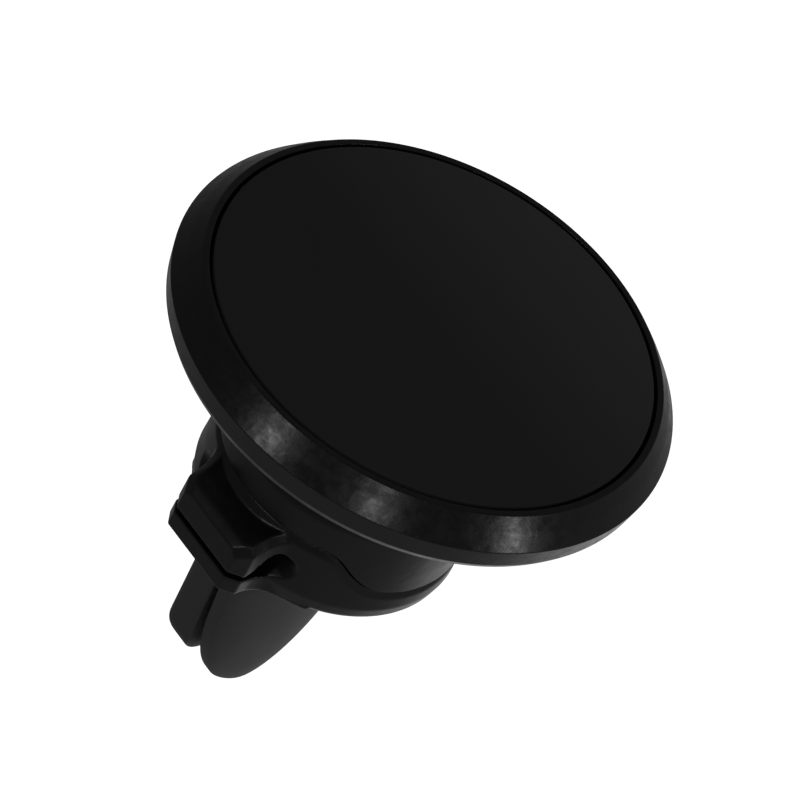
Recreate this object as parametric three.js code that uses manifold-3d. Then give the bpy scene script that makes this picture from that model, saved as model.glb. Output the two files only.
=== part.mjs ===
// Magnetic car phone mount that clips onto a vent blade.
// A round magnetic head sits on a ball stud, the ball turns in a socket inside a two-piece drum,
// and two sprung rubber-covered jaws under the drum grip the blade. A cable clip stands out of the drum.
// Units are millimetres. +Z is up, +Y points into the vent and the phone face looks along -Y.
// The origin is on the ball's axis, between the jaws, where the blade is gripped.
import * as THREE from "three";
import { mergeVertices } from "three/addons/utils/BufferGeometryUtils.js";
import Module from "manifold-3d";

const wasm = await Module();
wasm.setup();

// Depths are measured along +Y from the phone face. The head and the socket lie round the Y axis.
const GRIP_DEPTH = 48;
const FIT = 0.1; // between pieces that lie on each other
const GAP = 0.25; // between neighbouring shells

const FINE = 48; // segments round a large circle
const MEDIUM = 28;
const SMALL = 12;

// Head
const PAD = { radius: 26.35, front: 0, back: 0.9 };
const ADHESIVE = { radius: 25.6, front: 1.0, back: 1.2 };
const CARRIER = { radius: 26.1, front: 1.3, back: 4.3 };
const MAGNET = { count: 6, ring: 14.4, radius: 5, front: 2.1, back: 4.25, clearance: 0.2 };
const YOKE = { radius: 19.8, front: 4.45, back: 5.25 };
const RETAINER = { radius: 10, front: 5.4, back: 5.95 };
const BEZEL = {
  lip: 26.8, bevelStart: 27.55, outer: 30.2, inner: 28.1,
  front: 0.05, widest: 3.2, back: 6.9,
};
const COVER = { radius: 27.9, front: 4.6, inside: 6.1, back: 8.3, bossRadius: 8.8, bossBack: 9.6 };
const COVER_SCREWS = { count: 4, ring: 23, boss: 2.1, bossFront: 4.4, pilotEnd: 2.4 };

// Ball stud
const BALL = { radius: 6, depth: 18.6 };
const STUD = { flange: 6.6, flangeFront: 6.2, flangeBack: 7.5, shaft: 3.3, waist: 2.9 };
const WASHER = { inner: 3.9, outer: 6.7, front: 7.65, back: 8.1 };
const POCKET = { radius: 7, floor: 8.2, hole: 3.7 };

// Drum: its shells' centre lies a little to the clip's side of the ball
const LINER = { radius: 7.9, front: 17.2, back: 25.7, cavity: 6.1 };
const PRESSURE_RING = { inner: 4, outer: 7.6, front: 25.85, back: 26.65 };
const DRUM = { centre: 1.1, radius: 16.4, wall: 1.6, front: 16, seam: 28.4, floor: 31.6, back: 33.2 };
const SOCKET = { bore: 8.05, wall: 1.65, lip: 5.95, lipDepth: 1, back: 26.7 };
const POST = { radius: 2.1, pilot: 1 };
const POST_PLACES = [[2.5, 11.3], [2.5, -11.3], [-10.9, 0]]; // x, z
const MID_PLATE = { front: 26.8, back: 27.9, low: -8.2, high: 11.6, halfWidth: 8.2, radius: 14.1 };

// Arch where the lower housing rises round the clip's root: half width against depth.
const ARCH_TOP = 23.1;
const ARCH_EDGE = [
  [10.4, 23.1], [11.4, 23.4], [12.2, 24.1], [13, 25.2],
  [13.8, 26.3], [14.9, 27.5], [16.6, 28.4],
];

// Cable clip
const CLIP = {
  end: 21.1, halfWidth: 6.4, corner: 1.4, back: 33,
  slitFront: 30, slitBack: 30.7, inside: 12.4,
};

// Jaws
const JAW = { centre: 2.8, pivotDepth: 29.9, pivotOffset: 2.1, knuckle: 1.7, pinHole: 0.95, pin: 0.8 };
const RIB = { inner: 8.9, outer: 10.4, front: 28, halfWidth: 4.6 };
const CORE = { near: 1.25, far: 2.5, halfWidth: 6.4, back: 55.5, clearance: 0.15 };
const TONGUE = {
  front: 33.7, slot: 0.45, rootThinning: 0.22, rootLength: 3,
  taperStart: 40, taperLength: 20,
};
const NOSE = { wall: 0.6, thick: 0.4 }; // the share of a tongue's heights that is left at its tip
// A tongue narrows from taperStart on by taper for each taperLength, and its nose is rounded from shoulder
// to tip, where its slot face rises by lift. Its section has straight sides up to wall, and a dome up to thick.
const TONGUES = {
  upper: {
    side: 1, half: 11, taper: 0.28, shoulder: 47.5, tip: 61.9, nosePower: 2.2, lift: 0.5,
    wall: 2.25, thick: 4.8, acrossPower: 1.9, overPower: 1.7,
  },
  lower: {
    side: -1, half: 10.4, taper: 0.14, shoulder: 53.6, tip: 58.7, nosePower: 2, lift: 1.5,
    wall: 3, thick: 6.4, acrossPower: 3.2, overPower: 2.8,
  },
};
const COIL = { turns: 4, radius: 1.35, wire: 0.26, halfLength: 2.5, leg: 2.2 };

const SCREW = {
  head: 1.9, headDepth: 1.1, shank: 0.85,
  recessLength: 2.5, recessWidth: 0.54, recessDepth: 0.75,
};
const SCREW_LENGTH = { cover: 5, drum: 6.5 };

function material(colour, roughness, metalness) {
  return new THREE.MeshStandardMaterial({ color: colour, roughness, metalness });
}

const MATERIALS = {
  pad: material(0x19191b, 0.85, 0),
  bezel: material(0x1d1d1f, 0.45, 0),
  housing: material(0x1b1b1d, 0.5, 0),
  rubber: material(0x34343a, 0.8, 0),
  seal: material(0x262626, 0.9, 0),
  acetal: material(0x3a3a3c, 0.5, 0),
  stud: material(0x151517, 0.3, 0),
  tape: material(0x8a8a86, 0.9, 0),
  steel: material(0xa8abb0, 0.35, 1),
  nickel: material(0xc9ccd0, 0.2, 1),
};

// A manifold solid made from a closed three.js geometry, turned face out if it was inside out.
function solid(geometry) {
  const bare = geometry.index ? geometry.clone() : geometry;
  bare.deleteAttribute("normal");
  bare.deleteAttribute("uv");
  const merged = mergeVertices(bare, 1e-4);
  const triVerts = new Uint32Array(merged.index.array);
  const vertProperties = merged.attributes.position.array;
  const made = new wasm.Manifold(new wasm.Mesh({ numProp: 3, vertProperties, triVerts }));
  if (made.volume() > 0) return made;
  for (let i = 0; i < triVerts.length; i += 3) {
    [triVerts[i + 1], triVerts[i + 2]] = [triVerts[i + 2], triVerts[i + 1]];
  }
  return new wasm.Manifold(new wasm.Mesh({ numProp: 3, vertProperties, triVerts }));
}

function placed(geometry, x, y, z) {
  return solid(geometry.translate(x, y, z));
}

// A solid of revolution about the Y axis through (x, z), from [radius, depth] points.
// A profile that leaves the axis is closed on itself.
function turned(points, segments, x = 0, z = 0) {
  const onAxis = points[0][0] === 0;
  const profile = onAxis ? points : [...points, points[0]];
  const geometry = new THREE.LatheGeometry(profile.map(([r, y]) => new THREE.Vector2(r, y)), segments);
  return placed(geometry, x, 0, z);
}

function disc(radius, front, back, segments, x = 0, z = 0) {
  return turned([[0, front], [radius, front], [radius, back], [0, back]], segments, x, z);
}

function ring(inner, outer, front, back, segments) {
  return turned([[inner, front], [outer, front], [outer, back], [inner, back]], segments);
}

function block(x0, x1, y0, y1, z0, z1) {
  const geometry = new THREE.BoxGeometry(x1 - x0, y1 - y0, z1 - z0);
  return placed(geometry, (x0 + x1) / 2, (y0 + y1) / 2, (z0 + z1) / 2);
}

// A rod along X.
function crossRod(radius, x0, x1, y, z, segments) {
  const geometry = new THREE.CylinderGeometry(radius, radius, x1 - x0, segments).rotateZ(Math.PI / 2);
  return placed(geometry, (x0 + x1) / 2, y, z);
}

// An outline of [x, y] points, extruded along Z.
function extrudedZ(outline, z0, z1) {
  const shape = new THREE.Shape(outline.map(([x, y]) => new THREE.Vector2(x, y)));
  const geometry = new THREE.ExtrudeGeometry(shape, { depth: z1 - z0, bevelEnabled: false });
  return placed(geometry, 0, 0, z0);
}

// An outline of [z, y] points, extruded along X.
function extrudedX(outline, x0, x1) {
  const shape = new THREE.Shape(outline.map(([z, y]) => new THREE.Vector2(z, y)));
  const geometry = new THREE.ExtrudeGeometry(shape, { depth: x1 - x0, bevelEnabled: false });
  geometry.rotateY(-Math.PI / 2).scale(-1, 1, 1);
  return placed(geometry, x0, 0, 0);
}

// An outline of [x, z] points, extruded along Y.
function extrudedY(outline, y0, y1) {
  const shape = new THREE.Shape(outline.map(([x, z]) => new THREE.Vector2(x, -z)));
  const geometry = new THREE.ExtrudeGeometry(shape, { depth: y1 - y0, bevelEnabled: false });
  geometry.rotateX(-Math.PI / 2);
  return placed(geometry, 0, y0, 0);
}

// A solid through rings of as many points each, closed by a flat face at each end.
function lofted(rings) {
  const count = rings[0].length;
  const index = [];
  for (let i = 0; i + 1 < rings.length; i++) {
    for (let k = 0; k < count; k++) {
      const here = i * count + k;
      const next = i * count + ((k + 1) % count);
      index.push(here, next, next + count, here, next + count, here + count);
    }
  }
  const last = (rings.length - 1) * count;
  for (let k = 1; k + 1 < count; k++) {
    index.push(0, k + 1, k, last, last + k, last + k + 1);
  }
  const geometry = new THREE.BufferGeometry();
  geometry.setAttribute("position", new THREE.Float32BufferAttribute(rings.flat(2), 3));
  geometry.setIndex(index);
  return solid(geometry);
}

// Points on a smooth curve through the given ones.
function smooth(points, count) {
  const curve = new THREE.CatmullRomCurve3(points.map(([a, b]) => new THREE.Vector3(a, b, 0)));
  return curve.getPoints(count).map((p) => [p.x, p.y]);
}

function around(count, ringRadius, offset, make) {
  for (let i = 0; i < count; i++) {
    const angle = offset + (2 * Math.PI * i) / count;
    make(ringRadius * Math.cos(angle), ringRadius * Math.sin(angle), i + 1);
  }
}

const pieces = new THREE.Group();

function add(name, made, finish) {
  const mesh = made.getMesh();
  const geometry = new THREE.BufferGeometry();
  geometry.setAttribute("position", new THREE.BufferAttribute(new Float32Array(mesh.vertProperties), 3));
  geometry.setIndex(new THREE.BufferAttribute(new Uint32Array(mesh.triVerts), 1));
  geometry.computeVertexNormals();
  const piece = new THREE.Mesh(geometry, finish);
  piece.name = name;
  pieces.add(piece);
}

// A countersunk screw driven along -Y, with its head at the given depth and a cross recess.
function screw(x, z, headBack, length) {
  const neck = headBack - SCREW.headDepth;
  const tip = headBack - length;
  const profile = [
    [0, tip], [SCREW.shank * 0.6, tip], [SCREW.shank, tip + 0.5],
    [SCREW.shank, neck], [SCREW.head, headBack - 0.2], [SCREW.head, headBack], [0, headBack],
  ];
  const bottom = headBack - SCREW.recessDepth;
  const long = SCREW.recessLength / 2;
  const wide = SCREW.recessWidth / 2;
  const recess = block(x - long, x + long, bottom, headBack + 1, z - wide, z + wide)
    .add(block(x - wide, x + wide, bottom, headBack + 1, z - long, z + long));
  return turned(profile, SMALL, x, z).subtract(recess);
}

// The hole that a countersunk screw's head lies in, with clearance all round.
function countersink(x, z, headBack, end) {
  const c = GAP;
  const profile = [
    [0, end], [SCREW.shank + 0.2, end], [SCREW.shank + 0.2, headBack - SCREW.headDepth - c],
    [SCREW.head + c, headBack - 0.2 - c], [SCREW.head + c, headBack + 3], [0, headBack + 3],
  ];
  return turned(profile, SMALL, x, z);
}

function addHead() {
  add("face_pad", disc(PAD.radius, PAD.front, PAD.back, FINE), MATERIALS.pad);
  add("pad_adhesive", disc(ADHESIVE.radius, ADHESIVE.front, ADHESIVE.back, MEDIUM), MATERIALS.tape);
  addBezel();
  addMagnets();
  add("steel_yoke", disc(YOKE.radius, YOKE.front, YOKE.back, MEDIUM), MATERIALS.steel);
  add("stud_retainer", disc(RETAINER.radius, RETAINER.front, RETAINER.back, MEDIUM), MATERIALS.steel);
  addBackCover();
}

function addBezel() {
  const profile = [
    [BEZEL.lip, BEZEL.front], [BEZEL.bevelStart, BEZEL.front], [BEZEL.outer, BEZEL.widest],
    [29.8, 5.8], [29.3, 6.7], [28.5, BEZEL.back], [BEZEL.inner, 6.6], [BEZEL.inner, 3.2], [BEZEL.lip, 1.6],
  ];
  add("front_bezel", turned(profile, FINE), MATERIALS.bezel);
}

function addMagnets() {
  let carrier = disc(CARRIER.radius, CARRIER.front, CARRIER.back, FINE);
  around(MAGNET.count, MAGNET.ring, 0, (x, z, number) => {
    const magnet = disc(MAGNET.radius, MAGNET.front + FIT, MAGNET.back, 24, x, z);
    const pocket = disc(MAGNET.radius + MAGNET.clearance, MAGNET.front, CARRIER.back + 1, 24, x, z);
    carrier = carrier.subtract(pocket);
    add(`magnet_${number}`, magnet, MATERIALS.nickel);
  });
  around(COVER_SCREWS.count, COVER_SCREWS.ring, Math.PI / 4, (x, z) => {
    carrier = carrier.subtract(disc(SCREW.shank + FIT, COVER_SCREWS.pilotEnd, CARRIER.back + 1, SMALL, x, z));
  });
  add("magnet_carrier", carrier, MATERIALS.acetal);
}

function addBackCover() {
  const profile = [
    [COVER.radius, COVER.front], [COVER.radius, 6.7], [26.5, 7.3], [20, 7.9],
    [COVER.bossRadius + 0.6, COVER.back], [COVER.bossRadius, COVER.bossBack - 0.5],
    [COVER.bossRadius - 0.6, COVER.bossBack], [POCKET.hole, COVER.bossBack], [POCKET.hole, POCKET.floor],
    [POCKET.radius, POCKET.floor], [POCKET.radius, COVER.inside], [20, COVER.inside],
    [COVER.radius - 1.6, 5.6], [COVER.radius - 1.6, COVER.front],
  ];
  let cover = turned(profile, FINE);
  const headBack = 7.5;
  around(COVER_SCREWS.count, COVER_SCREWS.ring, Math.PI / 4, (x, z, number) => {
    cover = cover.add(disc(COVER_SCREWS.boss, COVER_SCREWS.bossFront, 6.4, SMALL, x, z));
    cover = cover.subtract(countersink(x, z, headBack, COVER_SCREWS.bossFront - 1));
    add(`cover_screw_${number}`, screw(x, z, headBack, SCREW_LENGTH.cover), MATERIALS.steel);
  });
  add("back_cover", cover, MATERIALS.housing);
}

// Profile points of a sphere about the ball's centre, from a polar angle at its neck round to the far pole.
function sphereArc(radius, fromAngle, steps) {
  const points = [];
  for (let i = 0; i <= steps; i++) {
    const angle = fromAngle + ((Math.PI - fromAngle) * i) / steps;
    const onAxis = i === steps;
    points.push([onAxis ? 0 : radius * Math.sin(angle), BALL.depth - radius * Math.cos(angle)]);
  }
  return points;
}

function addBallStud() {
  const neckAngle = Math.asin(STUD.waist / BALL.radius);
  const profile = [
    [0, STUD.flangeFront], [STUD.flange, STUD.flangeFront], [STUD.flange, STUD.flangeBack],
    [STUD.shaft, STUD.flangeBack], [STUD.shaft, 10], [STUD.waist, 11.2],
    ...sphereArc(BALL.radius, neckAngle, 11),
  ];
  add("ball_stud", turned(profile, MEDIUM), MATERIALS.stud);
  const washer = ring(WASHER.inner, WASHER.outer, WASHER.front, WASHER.back, MEDIUM);
  add("friction_washer", washer, MATERIALS.seal);
}

function addSocket() {
  const mouth = Math.acos((BALL.depth - LINER.front) / LINER.cavity);
  const cavity = sphereArc(LINER.cavity, mouth, 8).reverse();
  const profile = [...cavity, [LINER.radius, LINER.front], [LINER.radius, LINER.back], [0, LINER.back]];
  add("socket_liner", turned(profile, MEDIUM), MATERIALS.acetal);
  const { inner, outer, front, back } = PRESSURE_RING;
  add("pressure_ring", ring(inner, outer, front, back, MEDIUM), MATERIALS.seal);
}

// Everything behind the arch's edge and on the clip's side of the axis, grown by a margin.
function archRegion(margin, x0) {
  const right = ARCH_EDGE.map(([z, y]) => [z + margin, y - margin]);
  const left = right.map(([z, y]) => [-z, y]).reverse();
  const seam = DRUM.seam - margin;
  const deep = DRUM.seam + 1;
  const outline = [...left, ...right, [18, seam], [18, deep], [-18, deep], [-18, seam]];
  return extrudedX(outline, x0, 24);
}

function addUpperHousing() {
  const bossWall = SOCKET.bore + SOCKET.wall;
  const inside = DRUM.radius - DRUM.wall - FIT;
  const bottom = DRUM.seam - GAP;
  const profile = [
    [SOCKET.lip / 2, DRUM.front], [DRUM.radius - 3, DRUM.front], [DRUM.radius - 1, DRUM.front + 0.9],
    [DRUM.radius, DRUM.front + 2.9], [DRUM.radius, bottom], [inside, bottom], [inside, 19.4], [13.4, 18],
    [SOCKET.lip / 2, 18],
  ];
  let housing = turned(profile, FINE, DRUM.centre).subtract(archRegion(GAP, 0.5));
  housing = housing.add(disc(bossWall, DRUM.front + 0.4, SOCKET.back, FINE));
  housing = housing.subtract(disc(SOCKET.bore, DRUM.front + SOCKET.lipDepth, SOCKET.back + 1, FINE));
  housing = housing.subtract(disc(SOCKET.lip, DRUM.front - 1, SOCKET.back, FINE));
  for (const [x, z] of POST_PLACES) {
    housing = housing.add(disc(POST.radius, 17.5, DRUM.floor - FIT, SMALL, x, z));
    housing = housing.subtract(disc(POST.pilot, 22, DRUM.floor + 1, SMALL, x, z));
  }
  add("upper_housing", housing, MATERIALS.housing);
}

// The clip's outline seen from the front: straight sides that flare into the drum, with cut corners.
function clipPlan() {
  const c = CLIP.corner;
  const side = [[12.5, 11.6], [13.7, 10.1], [14.9, 8.4], [16.2, 7.1], [17.8, 6.5], [19.2, CLIP.halfWidth]];
  const upper = [...smooth(side, 10), [CLIP.end - c, CLIP.halfWidth], [CLIP.end, CLIP.halfWidth - c]];
  const lower = upper.map(([x, z]) => [x, -z]).reverse();
  return [...upper, ...lower];
}

// The clip's outline seen from the side, from its root over the hook and back under.
function clipSide() {
  return [
    [12.5, ARCH_TOP], [14, ARCH_TOP], [16.2, 23.6], [18.6, 24.8], [20.3, 25.8], [CLIP.end, 26.6],
    [CLIP.end, CLIP.back - 0.2], [CLIP.end - 0.2, CLIP.back], [12.5, CLIP.back],
  ];
}

// The cable's way through the clip: a rounded channel, open to the end through a narrow slit.
function cableChannel() {
  const drop = [
    [19.3, 30], [18.3, 29.3], [17.7, 28.1], [16.9, 26.9], [15.8, 26.3],
    [15, 26.9], [14.8, 28.1], [15.2, 29.4], [16.2, 30.5],
  ];
  const outline = [[18.4, CLIP.slitBack], [24, CLIP.slitBack], [24, CLIP.slitFront], ...smooth(drop, 18)];
  return extrudedZ(outline, -14, 14);
}

function addLowerHousing() {
  const inside = DRUM.radius - DRUM.wall;
  const cup = turned([
    [0, DRUM.floor], [inside, DRUM.floor], [inside, DRUM.seam],
    [DRUM.radius + 0.1, DRUM.seam], [DRUM.radius + 0.15, DRUM.back - 2.4],
    [DRUM.radius - 0.2, DRUM.back - 0.8], [DRUM.radius - 0.8, DRUM.back], [0, DRUM.back],
  ], FINE, DRUM.centre);
  const wall = turned([
    [inside, ARCH_TOP - 1], [DRUM.radius, ARCH_TOP - 1],
    [DRUM.radius, DRUM.seam + 0.5], [inside, DRUM.seam + 0.5],
  ], FINE, DRUM.centre);
  const arch = wall.intersect(archRegion(0, 0.8));
  const flared = extrudedZ(clipSide(), -12, 12).intersect(extrudedY(clipPlan(), 20, 36));
  const clip = flared.intersect(archRegion(0, 0.8).add(block(0, 24, DRUM.seam, 36, -18, 18)));
  const core = disc(inside - FIT, ARCH_TOP - 1, DRUM.floor, FINE, DRUM.centre);
  const filler = block(CLIP.inside, 16.4, 24.6, DRUM.floor + 0.5, -CLIP.halfWidth, CLIP.halfWidth);
  let housing = cup.add(arch).add(clip.subtract(core)).add(filler);
  for (const side of [-1, 1]) {
    const near = JAW.centre + side * RIB.inner;
    const far = JAW.centre + side * RIB.outer;
    const rib = block(
      Math.min(near, far), Math.max(near, far), RIB.front, DRUM.floor + 0.5, -RIB.halfWidth, RIB.halfWidth,
    );
    housing = housing.add(rib);
  }
  housing = housing.subtract(cableChannel());
  housing = housing.subtract(jawOpening());
  for (const side of [-1, 1]) {
    housing = housing.subtract(pinRod(JAW.pinHole, side, RIB.outer - 0.2));
  }
  for (const [x, z] of POST_PLACES) {
    housing = housing.subtract(countersink(x, z, DRUM.back - 0.15, DRUM.floor - 1));
  }
  add("lower_housing", housing, MATERIALS.housing);
}

function jawOpening() {
  const half = RIB.inner - 0.1;
  return block(JAW.centre - half, JAW.centre + half, DRUM.floor - 0.5, DRUM.back + 1, -4.3, 4.3);
}

function pinRod(radius, side, halfLength) {
  const z = side * JAW.pivotOffset;
  return crossRod(radius, JAW.centre - halfLength, JAW.centre + halfLength, JAW.pivotDepth, z, SMALL);
}

function addDrumHardware() {
  const p = MID_PLATE;
  const plate = block(p.low, p.high, p.front, p.back, -p.halfWidth, p.halfWidth);
  add("mid_plate", plate.intersect(disc(p.radius, p.front - 1, p.back + 1, MEDIUM)), MATERIALS.steel);
  POST_PLACES.forEach(([x, z], i) => {
    add(`housing_screw_${i + 1}`, screw(x, z, DRUM.back - 0.15, SCREW_LENGTH.drum), MATERIALS.steel);
  });
}

// Half the section of a tongue at a depth, as [offset from the middle, height over the slot's plane] points.
function tongueSection(shape, depth) {
  const along = Math.max(0, (depth - shape.shoulder) / (shape.tip - shape.shoulder));
  const nose = (1 - along ** shape.nosePower) ** (1 / shape.nosePower);
  const narrowing = (shape.taper * Math.max(0, depth - TONGUE.taperStart)) / TONGUE.taperLength;
  const root = 1 - TONGUE.rootThinning * Math.max(0, 1 - (depth - TONGUE.front) / TONGUE.rootLength);
  const wide = shape.half * (1 - narrowing) * nose;
  const low = TONGUE.slot + shape.lift * (1 - nose);
  const wall = TONGUE.slot + (shape.wall - TONGUE.slot) * (NOSE.wall + (1 - NOSE.wall) * nose);
  const thick = TONGUE.slot + (shape.thick * root - TONGUE.slot) * (NOSE.thick + (1 - NOSE.thick) * nose);
  const points = [[wide, low]];
  const steps = 5;
  for (let i = 0; i <= steps; i++) {
    const angle = (Math.PI / 2) * (i / steps);
    const across = i === steps ? 0 : Math.cos(angle) ** (2 / shape.acrossPower);
    points.push([wide * across, wall + (thick - wall) * Math.sin(angle) ** (2 / shape.overPower)]);
  }
  return points;
}

function tongue(shape) {
  const rootEnd = TONGUE.front + TONGUE.rootLength;
  const depths = [TONGUE.front, TONGUE.front + 1, rootEnd, TONGUE.taperStart];
  const steps = 9;
  for (let i = 0; i <= steps; i++) {
    const nearTip = Math.sin((Math.PI / 2) * (i / (steps + 0.4)));
    depths.push(shape.shoulder + (shape.tip - shape.shoulder) * nearTip);
  }
  const rings = depths.map((depth) => {
    const right = tongueSection(shape, depth);
    const left = right.slice(0, -1).reverse();
    const section = [...right, ...left.map(([a, h]) => [-a, h])];
    return section.map(([a, h]) => [JAW.centre + a, depth, shape.side * h]);
  });
  return lofted(rings);
}

function jawCorePlate(side, grow) {
  const half = CORE.halfWidth + grow;
  const tip = CORE.back + grow;
  const outline = [
    [JAW.centre - half, 31.2], [JAW.centre + half, 31.2], [JAW.centre + half, 48],
    [JAW.centre + half - 3.2, tip], [JAW.centre - half + 3.2, tip], [JAW.centre - half, 48],
  ];
  const z0 = side * (CORE.near - grow);
  const z1 = side * (CORE.far + grow);
  return extrudedZ(outline, Math.min(z0, z1), Math.max(z0, z1));
}

// A jaw: a plastic core hinged on its pin by two knuckles, and the rubber tongue over it.
function addJaw(label) {
  const shape = TONGUES[label];
  const { side } = shape;
  const z = side * JAW.pivotOffset;
  let core = jawCorePlate(side, 0);
  for (const hand of [-1, 1]) {
    const near = JAW.centre + hand * 3.2;
    const far = JAW.centre + hand * 8.6;
    const [x0, x1] = [Math.min(near, far), Math.max(near, far)];
    core = core.add(crossRod(JAW.knuckle, x0, x1, JAW.pivotDepth, z, 16));
  }
  core = core.subtract(pinRod(JAW.pinHole, side, 12));
  const coilRoom = block(JAW.centre - 3.1, JAW.centre + 3.1, 28, 32.2, -5, 5);
  add(`${label}_jaw_core`, core.subtract(coilRoom), MATERIALS.acetal);
  const pocket = jawCorePlate(side, CORE.clearance);
  add(`${label}_jaw_pad`, tongue(shape).subtract(pocket), MATERIALS.rubber);
  add(`${label}_jaw_pin`, pinRod(JAW.pin, side, RIB.outer - 0.5), MATERIALS.steel);
  add(`${label}_jaw_spring`, jawSpring(side), MATERIALS.steel);
}

// A torsion spring: a coil round the pin with one leg on the jaw's side and one on the drum's side.
function jawSpring(side) {
  const points = [];
  const steps = COIL.turns * 12;
  const z = side * JAW.pivotOffset;
  const x0 = JAW.centre - COIL.halfLength;
  points.push(new THREE.Vector3(x0, JAW.pivotDepth + COIL.leg, z + side * COIL.radius));
  for (let i = 0; i <= steps; i++) {
    const angle = (2 * Math.PI * (COIL.turns + 0.5) * i) / steps;
    const x = x0 + (2 * COIL.halfLength * i) / steps;
    const y = JAW.pivotDepth - COIL.radius * Math.sin(angle);
    points.push(new THREE.Vector3(x, y, z + side * COIL.radius * Math.cos(angle)));
  }
  const last = points[points.length - 1];
  points.push(new THREE.Vector3(last.x, JAW.pivotDepth + COIL.leg - 0.8, last.z));
  const path = new THREE.CatmullRomCurve3(points);
  const section = new THREE.Shape();
  section.absarc(0, 0, COIL.wire, 0, 2 * Math.PI);
  const geometry = new THREE.ExtrudeGeometry(section, {
    steps: 60,
    curveSegments: 3,
    bevelEnabled: false,
    extrudePath: path,
  });
  return solid(geometry);
}

addHead();
addBallStud();
addSocket();
addUpperHousing();
addLowerHousing();
addDrumHardware();
Object.keys(TONGUES).forEach(addJaw);

pieces.position.y = -GRIP_DEPTH;
const mount = new THREE.Group();
mount.add(pieces);
export default mount;
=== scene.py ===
# Looks of the magnetic car phone mount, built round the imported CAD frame.
# Shapes are made in millimetres as (x, depth, z), with depth measured along +Y from the phone face,
# and go to metres in the frame's own place when a piece is mounted on its body.
from math import acos, atan2, cos, pi, sin, sqrt, tan

import bmesh
import bpy
import numpy as np
from mathutils import Matrix, Vector


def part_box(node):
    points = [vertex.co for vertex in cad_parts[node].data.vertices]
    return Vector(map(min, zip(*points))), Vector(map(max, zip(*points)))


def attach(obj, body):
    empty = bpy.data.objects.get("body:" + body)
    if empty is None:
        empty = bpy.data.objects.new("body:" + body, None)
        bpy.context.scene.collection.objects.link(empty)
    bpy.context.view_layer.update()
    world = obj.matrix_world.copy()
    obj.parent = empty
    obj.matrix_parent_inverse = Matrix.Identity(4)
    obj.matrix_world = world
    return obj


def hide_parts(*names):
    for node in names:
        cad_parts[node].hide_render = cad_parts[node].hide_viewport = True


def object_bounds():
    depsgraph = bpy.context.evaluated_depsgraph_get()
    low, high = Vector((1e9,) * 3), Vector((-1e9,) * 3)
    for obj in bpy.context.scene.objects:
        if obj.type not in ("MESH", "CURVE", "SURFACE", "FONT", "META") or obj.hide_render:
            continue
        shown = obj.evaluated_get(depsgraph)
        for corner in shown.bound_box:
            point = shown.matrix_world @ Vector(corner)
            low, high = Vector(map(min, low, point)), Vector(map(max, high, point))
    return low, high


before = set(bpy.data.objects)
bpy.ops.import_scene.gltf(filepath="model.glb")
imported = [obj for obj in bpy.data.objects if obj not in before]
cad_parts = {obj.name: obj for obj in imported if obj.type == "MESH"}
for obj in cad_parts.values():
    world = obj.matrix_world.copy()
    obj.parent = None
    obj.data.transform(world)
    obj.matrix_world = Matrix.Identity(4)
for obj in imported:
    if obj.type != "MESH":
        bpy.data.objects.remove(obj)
CAD_BOX = [list(corner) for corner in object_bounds()]

MM = 0.001
FACE_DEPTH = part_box("face_pad")[0].y  # the phone face's place along Y, in metres
PAD_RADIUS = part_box("face_pad")[1].x / MM
HEAD_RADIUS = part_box("front_bezel")[1].x / MM

FINE = 192  # segments round the large circles
MEDIUM = 96
SMALL = 48

GAP = 0.25  # between neighbouring shells

# Camera: place in millimetres in the row frame, line of sight, and the direction that is up in the picture.
CAMERA_PLACE = (265.2, -307.6, 150.8)
CAMERA_SIGHT = (-0.6492, 0.6664, -0.3667)
CAMERA_UP = (-0.2497, -0.6421, -0.7248)
CAMERA_LENS = 163.0
SENSOR = 36.0
FLOOR_DROP = 0.45  # below the object's lowest point, in metres
FLOOR_SIZE = 30.0
AMBIENT = 0.09  # radiance of the surroundings on the phone's side of the object
# Brighter parts of the surroundings: direction, cosines between which they rise, and added radiance.
BRIGHT_SIDES = [
    ((-0.35, 0.75, 0.35), -0.3, 0.7, 0.10),
    ((-0.66, 0.74, 0.10), 0.84, 1.0, 0.45),
]

# Soft round lights: name, direction from the phone face's centre, and watts.
SOFTBOXES = [
    ("ceiling_left", (0.85, -0.53, -0.07), 0.38),
    ("ceiling_middle", (0.58, -0.56, 0.59), 0.30),
    ("ceiling_right", (-0.19, -0.38, 0.90), 0.38),
]
SOFTBOX_DISTANCE = 1.0
SOFTBOX_SIZE = 0.15

# Head and ball joint
PAD = {"back": 0.9, "edge": 0.12}
COVER_SCREWS = {"count": 4, "ring": 23.0, "head_back": 7.5, "length": 5.0}
BALL = {"radius": 6.0, "neck": 2.9, "middle": 18.6, "cavity": 6.1, "mouth": 17.2}

# Drum and arch
DRUM = {
    "centre": 1.1, "radius": 16.4, "wall": 1.6,
    "front": 16.0, "seam": 28.4, "floor": 31.6, "back": 33.2,
}
SOCKET = {"bore": 8.05, "wall": 1.65, "lip": 5.95, "back": 26.7}
POST_PLACES = [(2.5, 11.3), (2.5, -11.3), (-10.9, 0.0)]
POST_RADIUS = 2.1
SMOOTHING = {"voxel": 0.18, "rounds": 2, "most": 190000}  # rounds every edge of the rear shell a little
# Half width of the arch over the clip's root against depth.
ARCH_EDGE = [
    (10.4, 23.1), (11.4, 23.4), (12.2, 24.1), (13, 25.2), (13.8, 26.3), (14.9, 27.5), (16.6, 28.4),
]
ARCH_BEVEL = 0.9
BEVEL_DROP = 0.4

# Cable clip
CLIP_END = 21.1
CLIP_ROOT = 12.5
CLIP_BACK = 33.0
CLIP_HALF = 6.4
CLIP_CORNER = 1.4
CLIP_BEVEL = 0.9
CLIP_BEVEL_RISE = (14, 2, 0.1)  # where along X the bevel starts to grow, over what length, from what size
SLIT = (30.0, 30.7)

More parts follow.
